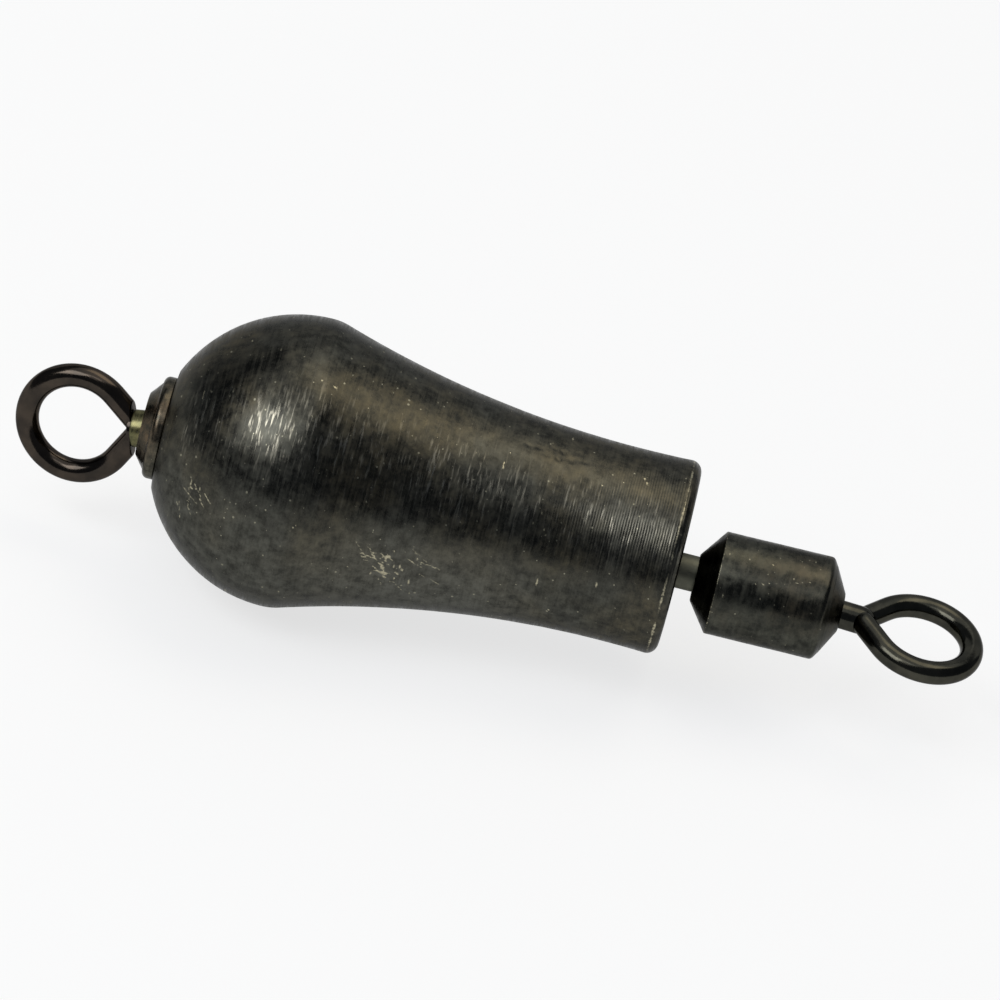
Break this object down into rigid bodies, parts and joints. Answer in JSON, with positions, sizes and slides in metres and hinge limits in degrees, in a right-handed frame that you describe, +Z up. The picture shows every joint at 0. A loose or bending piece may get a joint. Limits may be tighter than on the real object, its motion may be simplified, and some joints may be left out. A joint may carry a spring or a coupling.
{
  "type": "swivel fishing sinker",
  "caption": "Pear-shaped turned brass sinker with a free-turning line eye in its nose and a barrel swivel with a leader eye on its tail.",
  "frame": {"origin": "on the surface that the sinker lies on, below the middle of its overall length", "axes": "+X along the turned body from its nose to its tail, +Y across it, +Z up; the body's axis lies level at the ball's radius above the surface"},
  "size_m": [0.0526, 0.0156, 0.0156],
  "materials": {
    "blackened_brass": "turned brass, chemically blackened, worn at the rim",
    "collar_brass": "turned brass, blackened, worn bright on its edge",
    "ring_brass": "turned brass, partly bare",
    "line_eye_wire": "drawn steel wire, blackened, brownish",
    "bush_brass": "turned brass, blackened",
    "washer_steel": "stamped stainless steel",
    "stem_steel": "drawn steel, dull grey-green",
    "barrel_brass": "turned and swaged brass, blackened",
    "leader_eye_wire": "drawn steel wire, blackened"
  },
  "bodies": {
    "weight": {"sinker_body": "blackened_brass", "nose_collar": "collar_brass", "tail_bush": "bush_brass"},
    "eye_ring": {"eye_ring": "ring_brass"},
    "line_eye": {"line_eye": "line_eye_wire"},
    "thrust_washer": {"thrust_washer": "washer_steel"},
    "stem": {"stem": "stem_steel"},
    "barrel": {"barrel": "barrel_brass"},
    "leader_eye": {"leader_eye": "leader_eye_wire"}
  },
  "joints": [
    {"name": "line_eye_swing", "type": "hinge", "parent": "weight", "child": "eye_ring", "pos_m": [-0.01766, 0, 0.00778], "axis": [0, 0.9415, 0.3371], "range_deg": [0, 30.6]},
    {"name": "line_eye_spin", "type": "hinge", "parent": "eye_ring", "child": "line_eye", "pos_m": [-0.01766, 0, 0.00778], "axis": [-0.9646, 0.089, -0.2484], "continuous": true},
    {"name": "stem_end_play", "type": "slide", "parent": "weight", "child": "thrust_washer", "axis": [-1, 0, 0], "range_m": [0, 0.0009]},
    {"name": "stem_spin", "type": "hinge", "parent": "thrust_washer", "child": "stem", "pos_m": [0.00953, 0, 0.00709], "axis": [1, 0, 0], "continuous": true},
    {"name": "barrel_spin", "type": "hinge", "parent": "stem", "child": "barrel", "pos_m": [0.01058, 0, 0.00689], "axis": [0.9999, 0, 0.0122], "continuous": true},
    {"name": "leader_eye_spin", "type": "hinge", "parent": "barrel", "child": "leader_eye", "pos_m": [0.01848, 0, 0.00689], "axis": [0.9984, 0, -0.0558], "continuous": true}
  ]
}
